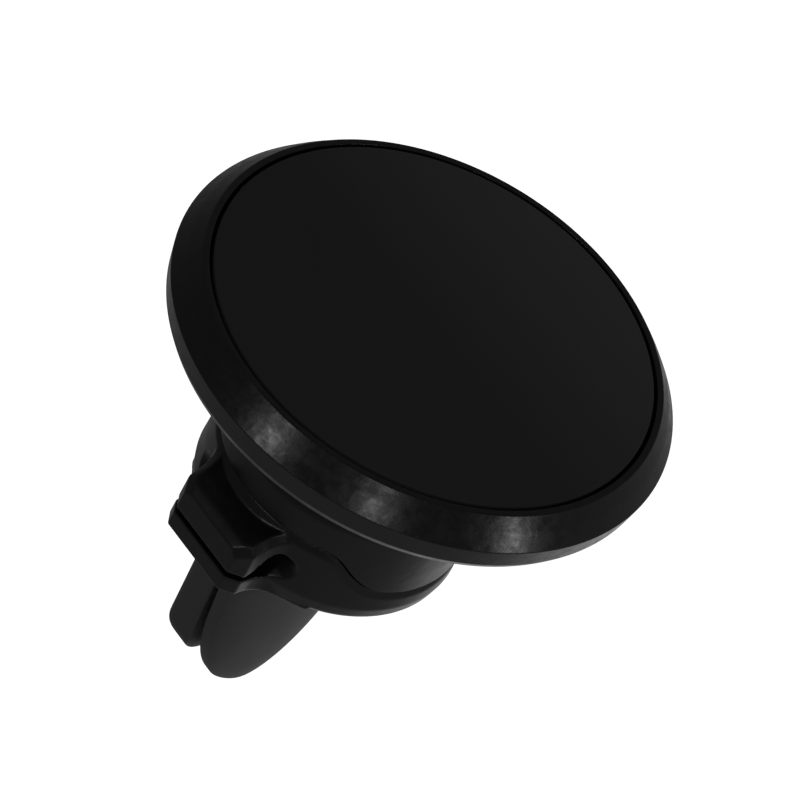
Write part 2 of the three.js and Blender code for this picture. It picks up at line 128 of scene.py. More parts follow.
# Jaws
JAW_CENTRE = 2.8
JAW_PIVOT = 29.9
JAW_OFFSET = 2.1
TONGUE = {
    "front": 33.7, "slot": 0.45, "root_thinning": 0.22, "root_length": 3,
    "taper_start": 40, "taper_length": 20,
}
NOSE = {"wall": 0.6, "thick": 0.4}  # the share of a tongue's heights that is left at its tip
TONGUES = {
    "upper": {
        "side": 1, "half": 11, "taper": 0.28, "shoulder": 47.5, "tip": 61.9, "nose_power": 2.2,
        "lift": 0.5, "wall": 2.25, "thick": 4.8, "across_power": 1.9, "over_power": 1.7,
    },
    "lower": {
        "side": -1, "half": 10.4, "taper": 0.14, "shoulder": 53.6, "tip": 58.7, "nose_power": 2,
        "lift": 1.5, "wall": 3, "thick": 6.4, "across_power": 3.2, "over_power": 2.8,
    },
}
CORE = {
    "near": 1.25, "far": 2.5, "half": 6.4, "front": 31.2, "taper_start": 48.0, "back": 55.5, "taper": 3.2,
    "clearance": 0.15,
}
OPENING = {"half": 8.8, "high": 4.3, "corner": 0.8}  # in the drum's back, where the jaws come out
RIB = {"near": 8.9, "far": 10.4, "front": 28.0, "high": 4.6}  # the knuckle plates that hold the jaws' pins
PIN = {"radius": 0.8, "half": 9.9, "hole": 0.95, "hole_half": 10.2, "edge": 0.15}
COIL = {"turns": 4, "radius": 1.35, "wire": 0.26, "half": 2.5, "leg": 2.2}

# Screws
SCREW = {
    "head": 1.9, "shank": 0.85, "root": 0.68, "head_depth": 1.1, "pitch": 0.55, "tip": 0.5,
    "recess": (1.25, 0.27, 0.75),  # half length, half width and depth
}
HOUSING_SCREWS = {"sunk": 0.15, "length": 6.5}  # sunk is how far their heads lie inside the drum's back


# ---------------------------------------------------------------- shapes in millimetres

def corner_arc(before, here, after, radius, steps):
    """Points that round the corner at here, between its two neighbours."""
    here = np.array(here[:2], float)
    towards_before = np.array(before[:2], float) - here
    towards_after = np.array(after[:2], float) - here
    near, far = np.linalg.norm(towards_before), np.linalg.norm(towards_after)
    a, b = towards_before / near, towards_after / far
    half = acos(max(-1.0, min(1.0, float(a @ b)))) / 2
    if half > pi / 2 - 0.01:
        return [tuple(here)]
    reach = min(radius / tan(half), 0.48 * min(near, far))
    radius = reach * tan(half)
    middle = (a + b) / np.linalg.norm(a + b)
    centre = here + middle * radius / sin(half)
    start = here + a * reach - centre
    end = here + b * reach - centre
    first = atan2(start[1], start[0])
    turn = (atan2(end[1], end[0]) - first + pi) % (2 * pi) - pi
    angles = [first + turn * i / steps for i in range(steps + 1)]
    return [(centre[0] + radius * cos(t), centre[1] + radius * sin(t)) for t in angles]


def rounded(points, closed=True, steps=4):
    """An outline whose corners (a, b, radius) are rounded; a corner given as (a, b) stays sharp."""
    made = []
    last = len(points) - 1
    for i, point in enumerate(points):
        end = not closed and i in (0, last)
        if len(point) < 3 or end:
            made.append(tuple(point[:2]))
            continue
        made += corner_arc(points[i - 1], point, points[(i + 1) % len(points)], point[2], steps)
    return made


def smooth_line(points, count):
    """A Catmull-Rom curve through points, as count + 1 points."""
    known = np.array(points, float)
    padded = np.vstack([2 * known[0] - known[1], known, 2 * known[-1] - known[-2]])
    made = []
    for i in range(count + 1):
        place = (len(known) - 1) * i / count
        k = min(int(place), len(known) - 2)
        t = place - k
        p0, p1, p2, p3 = padded[k:k + 4]
        square = 2 * p0 - 5 * p1 + 4 * p2 - p3
        cube = 3 * p1 - p0 - 3 * p2 + p3
        point = 0.5 * (2 * p1 + (p2 - p0) * t + square * t * t + cube * t ** 3)
        made.append(tuple(point))
    return made


def mesh_object(name, points, faces):
    """An object from points and faces, with its faces turned outwards."""
    mesh = bpy.data.meshes.new(name)
    mesh.from_pydata([tuple(p) for p in points], [], faces)
    work = bmesh.new()
    work.from_mesh(mesh)
    bmesh.ops.recalc_face_normals(work, faces=work.faces)
    work.to_mesh(mesh)
    work.free()
    made = bpy.data.objects.new(name, mesh)
    bpy.context.scene.collection.objects.link(made)
    return made


def revolve(name, profile, segments, centre=(0.0, 0.0)):
    """A solid of revolution about a line along Y through centre (x, z), from (radius, depth) points.
    profile may be a function of the angle that gives the points there. A profile that starts and ends on
    the axis is capped by two poles, and any other is closed on itself."""
    at = profile if callable(profile) else lambda angle: profile
    first = at(0.0)
    poles = first[0][0] == 0
    points = []
    for i in range(segments):
        angle = 2 * pi * i / segments
        rows = at(angle)[1:-1] if poles else at(angle)
        points += [(centre[0] + r * cos(angle), y, centre[1] + r * sin(angle)) for r, y in rows]
    rows = len(points) // segments
    faces = []
    for i in range(segments):
        here, there = i * rows, (i + 1) % segments * rows
        for k in range(rows - 1 if poles else rows):
            up = (k + 1) % rows
            faces.append((here + k, here + up, there + up, there + k))
    if poles:
        near, far = len(points), len(points) + 1
        points += [(centre[0], first[0][1], centre[1]), (centre[0], first[-1][1], centre[1])]
        for i in range(segments):
            here, there = i * rows, (i + 1) % segments * rows
            faces.append((near, here, there))
            faces.append((far, there + rows - 1, here + rows - 1))
    return mesh_object(name, points, faces)


def rod_outline(radius, low, high, edge):
    """Half the lengthwise section of a rod, with its ends' edges rounded if edge isn't zero."""
    if not edge:
        return [(0, low), (radius, low), (radius, high), (0, high)]
    return rounded([(0, low), (radius, low, edge), (radius, high, edge), (0, high)], closed=False)


def disc(name, radius, front, back, segments, centre=(0.0, 0.0), edge=0.0):
    return revolve(name, rod_outline(radius, front, back, edge), segments, centre)


def extrude(name, outline, axis, low, high):
    """A prism along axis. The outline holds (x, depth) for z, (x, z) for y and (z, depth) for x."""
    order = {
        "z": lambda a, b, c: (a, b, c),
        "y": lambda a, b, c: (a, c, b),
        "x": lambda a, b, c: (c, b, a),
    }[axis]
    count = len(outline)
    points = [order(a, b, low) for a, b in outline] + [order(a, b, high) for a, b in outline]
    faces = [tuple(range(count)), tuple(range(2 * count - 1, count - 1, -1))]
    for i in range(count):
        k = (i + 1) % count
        faces.append((i, k, count + k, count + i))
    return mesh_object(name, points, faces)


def loft(name, rings):
    """A solid through rings of as many points each, closed by a flat face at each end."""
    count = len(rings[0])
    faces = [tuple(range(count)), tuple(range(len(rings) * count - 1, (len(rings) - 1) * count - 1, -1))]
    for i in range(len(rings) - 1):
        for k in range(count):
            n = (k + 1) % count
            faces.append((i * count + k, i * count + n, (i + 1) * count + n, (i + 1) * count + k))
    return mesh_object(name, [point for ring in rings for point in ring], faces)


def block(name, x0, x1, y0, y1, z0, z1):
    return extrude(name, [(x0, y0), (x1, y0), (x1, y1), (x0, y1)], "z", z0, z1)


def cross_rod(name, radius, x0, x1, y, z, segments, edge=0.0):
    """A rod along X."""
    rod = revolve(name, rod_outline(radius, x0, x1, edge), segments)
    rod.data.transform(Matrix.Translation((0, y, z)) @ Matrix.Rotation(-pi / 2, 4, "Z"))
    return rod


def settle(piece):
    """Applies the piece's modifiers to its mesh."""
    graph = bpy.context.evaluated_depsgraph_get()
    mesh = bpy.data.meshes.new_from_object(piece.evaluated_get(graph))
    piece.modifiers.clear()
    piece.data = mesh
    return piece


def combine(piece, operation, *others):
    """Joins, cuts or intersects piece with others, which are used up."""
    for other in others:
        step = piece.modifiers.new("combine", "BOOLEAN")
        step.solver = "MANIFOLD"
        step.operation = operation
        step.object = other
        settle(piece)
        bpy.data.objects.remove(other)
    if not piece.data.polygons:
        raise RuntimeError(f"{piece.name} has nothing left after {operation}")
    return piece


def soften(piece, voxel, rounds, most):
    """Rounds every edge a little, as a mould does: a fine remesh, then smoothing, then fewer faces."""
    remesh = piece.modifiers.new("remesh", "REMESH")
    remesh.mode = "VOXEL"
    remesh.voxel_size = voxel
    remesh.adaptivity = 0.0
    relax = piece.modifiers.new("relax", "SMOOTH")
    relax.factor = 0.5
    relax.iterations = rounds
    settle(piece)
    triangles = 2 * len(piece.data.polygons)
    if triangles > most:
        fewer = piece.modifiers.new("fewer", "DECIMATE")
        fewer.ratio = most / triangles
        settle(piece)
    return piece


def shade(piece, limit):
    """Smooth shading, with edges sharper than limit degrees kept crisp and flats kept flat."""
    work = bmesh.new()
    work.from_mesh(piece.data)
    for face in work.faces:
        face.smooth = True
    for edge in work.edges:
        edge.smooth = len(edge.link_faces) == 2 and edge.calc_face_angle(0.0) < limit * pi / 180
    work.to_mesh(piece.data)
    work.free()
    weigh = piece.modifiers.new("weigh", "WEIGHTED_NORMAL")
    weigh.keep_sharp = True
    settle(piece)


def mount(piece, body, slot, nodes, limit=32.0):
    """Puts a finished shape on its body, in place of its CAD nodes, with its slot's material."""
    shade(piece, limit)
    piece.data.transform(Matrix.Translation((0, FACE_DEPTH, 0)) @ Matrix.Scale(MM, 4))
    piece.data.materials.clear()
    piece.data.materials.append(MATERIALS[slot])
    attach(piece, body)
    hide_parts(*nodes)
    return piece


# ---------------------------------------------------------------- materials

def grain(tree, scale, detail, roughness):
    """Fine noise over the object's own coordinates, in metres."""
    nodes, links = tree.nodes, tree.links
    place = nodes.get("place") or nodes.new("ShaderNodeTexCoord")
    place.name = "place"
    noise = nodes.new("ShaderNodeTexNoise")
    noise.inputs["Scale"].default_value = scale
    noise.inputs["Detail"].default_value = detail
    noise.inputs["Roughness"].default_value = roughness
    links.new(place.outputs["Object"], noise.inputs["Vector"])
    return noise.outputs["Fac"]


def ranged(tree, value, low, high):
    spread = tree.nodes.new("ShaderNodeMapRange")
    spread.inputs["From Min"].default_value = 0.3
    spread.inputs["From Max"].default_value = 0.7
    spread.inputs["To Min"].default_value = low
    spread.inputs["To Max"].default_value = high
    tree.links.new(value, spread.inputs["Value"])
    return spread.outputs["Result"]


def tinted(tree, value, dark, light):
    ramp = tree.nodes.new("ShaderNodeValToRGB")
    ramp.color_ramp.elements[0].position = 0.3
    ramp.color_ramp.elements[0].color = (*dark, 1)
    ramp.color_ramp.elements[1].position = 0.7
    ramp.color_ramp.elements[1].color = (*light, 1)
    tree.links.new(value, ramp.inputs["Fac"])
    return ramp.outputs["Color"]


def bumped(tree, value, depth, below=None):
    """A bump of the given depth in metres, on top of another one if below is given."""
    bump = tree.nodes.new("ShaderNodeBump")
    bump.inputs["Strength"].default_value = 1.0
    bump.inputs["Distance"].default_value = depth
    tree.links.new(value, bump.inputs["Height"])
    if below is not None:
        tree.links.new(below, bump.inputs["Normal"])
    return bump.outputs["Normal"]


def new_material(name, metallic=0.0, specular=0.5):
    made = bpy.data.materials.new(name)
    made.use_nodes = True
    shader = made.node_tree.nodes["Principled BSDF"]
    shader.inputs["Metallic"].default_value = metallic
    shader.inputs["Specular IOR Level"].default_value = specular
    return made, made.node_tree, shader


def finish_material(name, dark, light, rough, mottle, texture, metallic=0.0, specular=0.5):
    """A moulded or cast surface. mottle is the size in metres of its slow changes of colour and gloss;
    texture lists the (size, depth) in metres of each grain in the surface, the coarsest first."""
    made, tree, shader = new_material(name, metallic, specular)
    slow = grain(tree, 1 / mottle, 3.0, 0.6)
    tree.links.new(tinted(tree, slow, dark, light), shader.inputs["Base Color"])
    tree.links.new(ranged(tree, slow, *rough), shader.inputs["Roughness"])
    normal = None
    for size, depth in texture:
        normal = bumped(tree, grain(tree, 1 / size, 2.0, 0.5), depth, normal)
    tree.links.new(normal, shader.inputs["Normal"])
    return made


# The face pad's painted sheen: a sheen of light painted into the rubber's colour, paler towards -X.
SHEEN_FROM = 0.008  # places along X in metres where the face starts to turn paler, and where it would end
SHEEN_TO = -0.030


def painted_sheen_on_one_side(made, sheen_colour):
    """Paints a sheen of light into the colour of a made material: paler towards the side away from the
    cable clip.
    """
    tree = made.node_tree
    shader = tree.nodes["Principled BSDF"]
    colour = shader.inputs["Base Color"].links[0].from_socket
    parts = tree.nodes.new("ShaderNodeSeparateXYZ")
    tree.links.new(tree.nodes["place"].outputs["Object"], parts.inputs["Vector"])
    sheen_mask = tree.nodes.new("ShaderNodeMapRange")
    sheen_mask.interpolation_type = "SMOOTHSTEP"
    sheen_mask.inputs["From Min"].default_value = SHEEN_FROM
    sheen_mask.inputs["From Max"].default_value = SHEEN_TO
    tree.links.new(parts.outputs["X"], sheen_mask.inputs["Value"])
    mix = tree.nodes.new("ShaderNodeMixRGB")
    mix.inputs["Color2"].default_value = (*sheen_colour, 1)
    tree.links.new(sheen_mask.outputs["Result"], mix.inputs["Fac"])
    tree.links.new(colour, mix.inputs["Color1"])
    tree.links.new(mix.outputs["Color"], shader.inputs["Base Color"])
    return made


def grey(level):
    return (level, level, level)


MATERIALS = {
    # The face rubber's colour carries a painted sheen, grey(0.078) at its paler side away from the clip.
    "face_rubber": painted_sheen_on_one_side(finish_material(
        "face_rubber", grey(0.038), grey(0.042), (0.78, 0.88), 0.012,
        [(0.0009, 8e-6), (0.00018, 5e-6)], specular=0.25), grey(0.078)),
    "bezel_plastic": finish_material(
        "bezel_plastic", grey(0.005), grey(0.007), (0.17, 0.34), 0.0014,
        [(0.0015, 2e-5), (0.0005, 4e-6)]),
    "housing_plastic": finish_material(
        "housing_plastic", grey(0.005), grey(0.007), (0.27, 0.37), 0.003,
        [(0.0016, 3e-5), (0.0003, 2.5e-6)]),
    "jaw_rubber": finish_material(
        "jaw_rubber", grey(0.060), grey(0.074), (0.50, 0.60), 0.006,
        [(0.0012, 6e-6), (0.0002, 4e-6)], specular=0.4),
    "seal_rubber": finish_material(
        "seal_rubber", grey(0.015), grey(0.022), (0.80, 0.92), 0.004, [(0.0003, 1e-5)], specular=0.3),
    "stud_plastic": finish_material(
        "stud_plastic", grey(0.008), grey(0.010), (0.22, 0.30), 0.006, [(0.0012, 2e-6)]),
    "acetal": finish_material(
        "acetal", grey(0.035), grey(0.045), (0.42, 0.52), 0.005, [(0.0008, 4e-6)]),
    "tape": finish_material(
        "tape", (0.30, 0.29, 0.26), (0.36, 0.35, 0.32), (0.85, 0.95), 0.003, [(0.0004, 2e-5)],
        specular=0.3),
    "steel": finish_material(
        "steel", (0.50, 0.51, 0.53), (0.60, 0.61, 0.63), (0.26, 0.38), 0.002, [(0.00025, 2e-6)],
        metallic=1.0),
    "magnet_nickel": finish_material(
        "magnet_nickel", (0.66, 0.65, 0.62), (0.72, 0.71, 0.69), (0.12, 0.20), 0.004, [(0.0006, 1e-6)],
        metallic=1.0),
}


# ---------------------------------------------------------------- head

def make_face_pad():
    back, edge = PAD["back"], PAD["edge"]
    outline = [(0, 0.0), (PAD_RADIUS, 0.0, edge), (PAD_RADIUS, back, edge), (0, back)]
    rings = rounded(outline, closed=False, steps=6)
    mount(revolve("face_pad_skin", rings, FINE), "head", "face_rubber", ["face_pad"])


def make_bezel():
    outline = [
        (26.8, 1.6), (26.8, 0.04, 0.12), (27.55, 0.04, 0.25), (28.9, 1.56, 12.0), (HEAD_RADIUS, 3.2, 0.2),
        (29.8, 5.8, 0.6), (29.15, 6.9, 0.5), (28.1, 6.9, 0.3), (28.1, 3.2, 0.2),
    ]
    mount(revolve("bezel_shell", rounded(outline, steps=6), FINE), "head", "bezel_plastic", ["front_bezel"])


def make_back_cover():
    profile = rounded([
        (27.9, 4.6, 0.15), (27.9, 6.7, 0.5), (26.5, 7.3, 1.0), (20, 7.9, 4.0), (9.4, 8.3, 0.6),
        (8.8, 9.1, 0.4), (8.2, 9.6, 0.4), (3.7, 9.6, 0.25), (3.7, 8.2, 0.1), (7, 8.2, 0.1), (7, 6.1, 0.2),
        (20, 6.1, 1.0), (26.3, 5.6, 0.5), (26.3, 4.6, 0.15),
    ])
    cover = revolve("rear_shell", profile, FINE)
    head_back = COVER_SCREWS["head_back"]
    for number, (x, z) in enumerate(ring_places(COVER_SCREWS["count"], COVER_SCREWS["ring"], pi / 4), 1):
        combine(cover, "UNION", disc("boss", 2.1, 4.4, 6.4, SMALL, (x, z)))
        combine(cover, "DIFFERENCE", countersink(x, z, head_back, 3.4))
        make_screw(f"cover_screw_{number}", x, z, head_back, COVER_SCREWS["length"], "head")
    mount(cover, "head", "housing_plastic", ["back_cover"])


def ring_places(count, radius, offset):
    angles = [offset + 2 * pi * i / count for i in range(count)]
    return [(radius * cos(t), radius * sin(t)) for t in angles]


def node_depths(node):
    """The depths at which a CAD node starts and ends."""
    low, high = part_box(node)
    return (low.y - FACE_DEPTH) / MM, (high.y - FACE_DEPTH) / MM


def make_magnets():
    for number, place in enumerate(ring_places(6, 14.4, 0.0), 1):
        low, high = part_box(f"magnet_{number}")
        radius = (high.x - low.x) / 2 / MM
        front, back = node_depths(f"magnet_{number}")
        magnet = disc(f"disc_magnet_{number}", radius, front, back, SMALL, place, edge=0.15)
        mount(magnet, "head", "magnet_nickel", [f"magnet_{number}"])


def make_discs():
    for name, node, radius, slot, edge in (
        ("tape_disc", "pad_adhesive", 25.6, "tape", 0.05),
        ("flux_plate", "steel_yoke", 19.8, "steel", 0.12),
        ("flange_plate", "stud_retainer", 10.0, "steel", 0.1),
    ):
        front, back = node_depths(node)
        mount(disc(name, radius, front, back, MEDIUM, edge=edge), "head", slot, [node])


def make_rings():
    for name, node, inner, body in (
        ("stud_washer", "friction_washer", 3.9, "head"),
        ("press_ring", "pressure_ring", 4.0, "clip_body"),
    ):
        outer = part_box(node)[1].x / MM
        front, back = node_depths(node)
        edge = 0.35 * (back - front)
        profile = [(inner, front, edge), (outer, front, edge), (outer, back, edge), (inner, back, edge)]
        mount(revolve(name, rounded(profile), MEDIUM), body, "seal_rubber", [node])


# ---------------------------------------------------------------- ball joint

def make_ball_stud():
    radius, middle = BALL["radius"], BALL["middle"]
    neck = acos(1 - (BALL["neck"] / radius) ** 2 / 2)
    arc = []
    steps = 36
    for i in range(steps + 1):
        angle = neck + (pi - neck) * i / steps
        arc.append((radius * sin(angle) if i < steps else 0, middle - radius * cos(angle)))
    outline = [
        (0, 6.2), (6.6, 6.2, 0.2), (6.6, 7.5, 0.2), (3.3, 7.5, 0.25), (3.3, 10.2, 1.5), (2.85, 11.4, 1.0),
    ]
    profile = rounded(outline + arc[:1], closed=False)[:-1] + arc
    mount(revolve("stud", profile, MEDIUM), "stud", "stud_plastic", ["ball_stud"])


def make_liner():
    cavity, middle, front = BALL["cavity"], BALL["middle"], BALL["mouth"]
    mouth = acos((middle - front) / cavity)
    steps = 24
    arc = []
    for i in range(steps + 1):
        angle = pi - (pi - mouth) * i / steps
        arc.append((cavity * sin(angle) if i else 0, middle - cavity * cos(angle)))
    profile = arc + [(7.9, front, 0.2), (7.9, 25.7, 0.3), (0, 25.7)]
    mount(revolve("ball_cup", rounded(profile, closed=False), MEDIUM), "liner", "acetal", ["socket_liner"])


# ---------------------------------------------------------------- drum

ARCH_LINE = np.array(smooth_line(ARCH_EDGE, 60))


def arch_depth(angle):
    """Depth of the lower shell's edge at an angle from +X towards +Z."""
    if cos(angle) <= 0:
        return DRUM["seam"]
    across = DRUM["radius"] * abs(sin(angle))
    return float(np.interp(across, ARCH_LINE[:, 0], ARCH_LINE[:, 1]))


def arch_lean(angle):
    """How much longer a bevel's reach along Y is where the edge runs steeply."""
    step = 0.01
    rise = (arch_depth(angle + step) - arch_depth(angle - step)) / (2 * step * DRUM["radius"])
    return sqrt(1 + rise * rise)


def upper_profile(angle):
    radius, front = DRUM["radius"], DRUM["front"]
    inside = radius - DRUM["wall"] - 0.1
    bottom = arch_depth(angle) - GAP * arch_lean(angle)
    return rounded([
        (3.0, front), (radius - 3, front, 2.0), (radius - 1, 16.9, 1.6), (radius, 18.9, 2.0),
        (radius, bottom, 0.16), (inside, bottom, 0.1), (inside, 19.4, 0.5), (13.4, 18.0, 0.5), (3.0, 18.0),
    ], steps=6)


def make_upper_housing():
    boss = SOCKET["bore"] + SOCKET["wall"]
    housing = revolve("front_shell", upper_profile, FINE, (DRUM["centre"], 0.0))
    combine(housing, "UNION", disc("boss", boss, 16.4, SOCKET["back"], FINE))
    for x, z in POST_PLACES:
        combine(housing, "UNION", disc("post", POST_RADIUS, 17.5, DRUM["floor"] - 0.1, SMALL, (x, z)))
        combine(housing, "DIFFERENCE", disc("pilot", 1.0, 22.0, DRUM["floor"] + 1, SMALL, (x, z)))
    bore = revolve("bore", rounded([
        (0, 15.0), (SOCKET["lip"] + 0.6, 15.0), (SOCKET["lip"], 16.3, 0.3), (SOCKET["lip"], 17.0),
        (SOCKET["bore"], 17.0, 0.2), (SOCKET["bore"], SOCKET["back"] + 1), (0, SOCKET["back"] + 1),
    ], closed=False), FINE)
    combine(housing, "DIFFERENCE", bore)
    mount(housing, "clip_body", "housing_plastic", ["upper_housing"])


def cup_profile(angle):
    radius, back = DRUM["radius"], DRUM["back"]
    inside = radius - DRUM["wall"]
    edge = arch_depth(angle)
    reach = ARCH_BEVEL * arch_lean(angle)
    return rounded([
        (0, DRUM["floor"]), (inside, DRUM["floor"], 0.3), (inside, edge, 0.1),
        (radius - BEVEL_DROP, edge, 0.1), (radius + 0.05, edge + reach, 0.15),
        (radius + 0.15, back - 2.4, 1.0), (radius - 0.2, back - 0.8, 0.8),
        (radius - 0.8, back, 0.5), (0, back),
    ], closed=False, steps=5)


CLIP_TOP = rounded([
    (CLIP_ROOT, 23.1), (14, 23.1, 2.0), (16.2, 23.6, 3.0),
    (18.6, 24.8, 3.0), (20.3, 25.8, 2.0), (CLIP_END, 26.6),
], closed=False)
CLIP_SIDE = smooth_line([
    (CLIP_ROOT, 11.6), (13.7, 10.1), (14.9, 8.4), (16.2, 7.1), (17.8, 6.5), (19.2, CLIP_HALF),
], 24)
CLIP_SIDE += [(CLIP_END - CLIP_CORNER, CLIP_HALF), (CLIP_END, CLIP_HALF - CLIP_CORNER)]


def on_line(line, x):
    return float(np.interp(x, [a for a, _ in line], [b for _, b in line]))


def clip_block():
    """The clip's arm, from its root in the drum to its end, with the long edges of its top bevelled."""
    start, length, least = CLIP_BEVEL_RISE
    rings = []
    arm = np.linspace(CLIP_ROOT, CLIP_END - CLIP_CORNER, 40)
    corners = np.linspace(CLIP_END - CLIP_CORNER + 0.2, CLIP_END, 8)
    for x in np.concatenate([arm, corners]):
        half, top = on_line(CLIP_SIDE, x), on_line(CLIP_TOP, x)
        bevel = least + (CLIP_BEVEL - least) * min(1, max(0, (x - start) / length))
        outline = [
            (-half, CLIP_BACK), (-half, top + bevel), (-half + bevel, top),
            (half - bevel, top), (half, top + bevel), (half, CLIP_BACK),
        ]
        rings.append([(x, depth, z) for z, depth in outline])
    return loft("clip", rings)


def cable_channel():
    drop = [
        (19.3, 30.0), (18.3, 29.3), (17.7, 28.1), (16.9, 26.9), (15.8, 26.3),
        (15.0, 26.9), (14.8, 28.1), (15.2, 29.4), (16.2, 30.5),
    ]
    outline = [(18.4, SLIT[1]), (24.0, SLIT[1]), (24.0, SLIT[0])] + smooth_line(drop, 36)
    return extrude("channel", outline, "z", -14, 14)


def countersink(x, z, head_back, end):
    hole = SCREW["shank"] + 0.2
    rim = SCREW["head"] + GAP
    return revolve("sink", [
        (0, end), (hole, end), (hole, head_back - SCREW["head_depth"] - GAP),
        (rim, head_back - 0.2 - GAP), (rim, head_back + 3), (0, head_back + 3),
    ], SMALL, (x, z))


def make_lower_housing():
    inside = DRUM["radius"] - DRUM["wall"]
    centre = (DRUM["centre"], 0.0)
    housing = revolve("rear_cup", cup_profile, FINE, centre)
    clip = clip_block()
    combine(clip, "DIFFERENCE", disc("core", inside - 0.1, 20, DRUM["floor"], MEDIUM, centre))
    combine(clip, "INTERSECT", arch_block())
    combine(housing, "UNION", clip)
    combine(housing, "UNION", block("filler", 12.4, 16.4, 24.6, DRUM["floor"] + 0.5, -CLIP_HALF, CLIP_HALF))
    for side in (-1, 1):
        near, far = sorted((JAW_CENTRE + side * RIB["near"], JAW_CENTRE + side * RIB["far"]))
        rib = block("rib", near, far, RIB["front"], DRUM["floor"] + 0.5, -RIB["high"], RIB["high"])
        combine(housing, "UNION", rib)
    combine(housing, "DIFFERENCE", cable_channel(), jaw_opening())
    for side in (-1, 1):
        z = side * JAW_OFFSET
        low, high = JAW_CENTRE - PIN["hole_half"], JAW_CENTRE + PIN["hole_half"]
        combine(housing, "DIFFERENCE", cross_rod("pin_hole", PIN["hole"], low, high, JAW_PIVOT, z, SMALL))
    head_back = DRUM["back"] - HOUSING_SCREWS["sunk"]
    for x, z in POST_PLACES:
        combine(housing, "DIFFERENCE", countersink(x, z, head_back, DRUM["floor"] - 1))
    soften(housing, **SMOOTHING)
    mount(housing, "clip_body", "housing_plastic", ["lower_housing"], limit=60)


def arch_block():
    """Everything on the clip's side that lies behind the arch's edge."""
    right = smooth_line(ARCH_EDGE, 40)
    left = [(-z, y) for z, y in reversed(right)]
    wide, deep = 18, DRUM["back"] + 3
    beyond = [(wide, DRUM["seam"]), (wide, deep), (-wide, deep), (-wide, DRUM["seam"])]
    return extrude("arch", left + right + beyond, "x", 0.8, 24)


def jaw_opening():
    left, right = JAW_CENTRE - OPENING["half"], JAW_CENTRE + OPENING["half"]
    high, corner = OPENING["high"], OPENING["corner"]
    outline = rounded([
        (left, -high, corner), (right, -high, corner), (right, high, corner), (left, high, corner),
    ])
    return extrude("opening", outline, "y", DRUM["floor"] - 0.5, DRUM["back"] + 1)


def make_screw(node, x, z, head_back, length, body):
    """A countersunk screw driven along -Y: a cross recess in its head and a rolled thread."""
    neck = head_back - SCREW["head_depth"]
    tip = head_back - length
    head, shank, root = SCREW["head"], SCREW["shank"], SCREW["root"]
    rows = int((neck - tip - SCREW["tip"]) / SCREW["pitch"] * 8)

    def profile(angle):
        made = [(0, tip), (root * 0.6, tip)]
        for i in range(rows + 1):
            y = tip + SCREW["tip"] + (neck - tip - SCREW["tip"] - 0.15) * i / rows
            phase = (y / SCREW["pitch"] + angle / (2 * pi)) % 1.0
            crest = max(0.0, 1 - abs(phase - 0.5) * 4)
            made.append((root + (shank - root) * crest, y))
        made += [(shank, neck), (head, head_back - 0.25), (head - 0.02, head_back - 0.08)]
        made += [(head - 0.12, head_back), (0, head_back)]
        return made

    screw = revolve(f"{node}_body", profile, 32, (x, z))
    long, wide, deep = SCREW["recess"]
    for a, b in ((long, wide), (wide, long)):
        slot = block("recess", x - a, x + a, head_back - deep, head_back + 1, z - b, z + b)
        combine(screw, "DIFFERENCE", slot)
    mount(screw, body, "steel", [node])


def make_housing_screws():
    head_back = DRUM["back"] - HOUSING_SCREWS["sunk"]
    for number, (x, z) in enumerate(POST_PLACES, 1):
        make_screw(f"housing_screw_{number}", x, z, head_back, HOUSING_SCREWS["length"], "clip_body")


# ---------------------------------------------------------------- jaws

def tongue_section(shape, depth):
    """The section of a tongue at a depth, as (offset from the middle, height above the slot's plane)."""
    slot = TONGUE["slot"]
    along = min(0.9995, max(0.0, (depth - shape["shoulder"]) / (shape["tip"] - shape["shoulder"])))
    nose = (1 - along ** shape["nose_power"]) ** (1 / shape["nose_power"])
    narrowing = shape["taper"] * max(0.0, depth - TONGUE["taper_start"]) / TONGUE["taper_length"]
    root = 1 - TONGUE["root_thinning"] * max(0.0, 1 - (depth - TONGUE["front"]) / TONGUE["root_length"])
    wide = shape["half"] * (1 - narrowing) * nose
    low = slot + shape["lift"] * (1 - nose)
    wall = slot + (shape["wall"] - slot) * (NOSE["wall"] + (1 - NOSE["wall"]) * nose)
    thick = slot + (shape["thick"] * root - slot) * (NOSE["thick"] + (1 - NOSE["thick"]) * nose)
    corner = min(0.35, 0.3 * wide, 0.5 * (wall - low))
    lip = [(wide - corner * (1 - sin(t)), low + corner * (1 - cos(t))) for t in np.linspace(0, pi / 2, 5)]
    steps = 20
    dome = []
    for i in range(steps + 1):
        angle = pi / 2 * i / steps
        across = 0.0 if i == steps else cos(angle) ** (2 / shape["across_power"])
        dome.append((wide * across, wall + (thick - wall) * sin(angle) ** (2 / shape["over_power"])))
    right = lip + dome
    return right + [(-a, h) for a, h in reversed(right[:-1])]


def make_tongue(label):
    shape = TONGUES[label]
    side = shape["side"]
    middle, tip = shape["shoulder"], shape["tip"]
    stations = list(np.linspace(TONGUE["front"], middle, 40))
    stations += [middle + (tip - middle) * sin(t) for t in np.linspace(0, pi / 2, 40)[1:]]
    rings = []
    for depth in stations:
        rings.append([(JAW_CENTRE + a, depth, side * h) for a, h in tongue_section(shape, depth)])
    tongue = loft(f"{label}_tongue", rings)
    combine(tongue, "DIFFERENCE", core_plate(side, CORE["clearance"]))
    mount(tongue, f"{label}_jaw", "jaw_rubber", [f"{label}_jaw_pad"])


def core_plate(side, grow):
    """The space of a jaw's core, made larger all round by grow except at its front."""
    half = CORE["half"] + grow
    left, right = JAW_CENTRE - half, JAW_CENTRE + half
    front, bend, tip = CORE["front"], CORE["taper_start"], CORE["back"] + grow
    outline = [
        (left, front), (right, front), (right, bend),
        (right - CORE["taper"], tip), (left + CORE["taper"], tip), (left, bend),
    ]
    low, high = sorted((side * (CORE["near"] - grow), side * (CORE["far"] + grow)))
    return extrude("core", outline, "z", low, high)


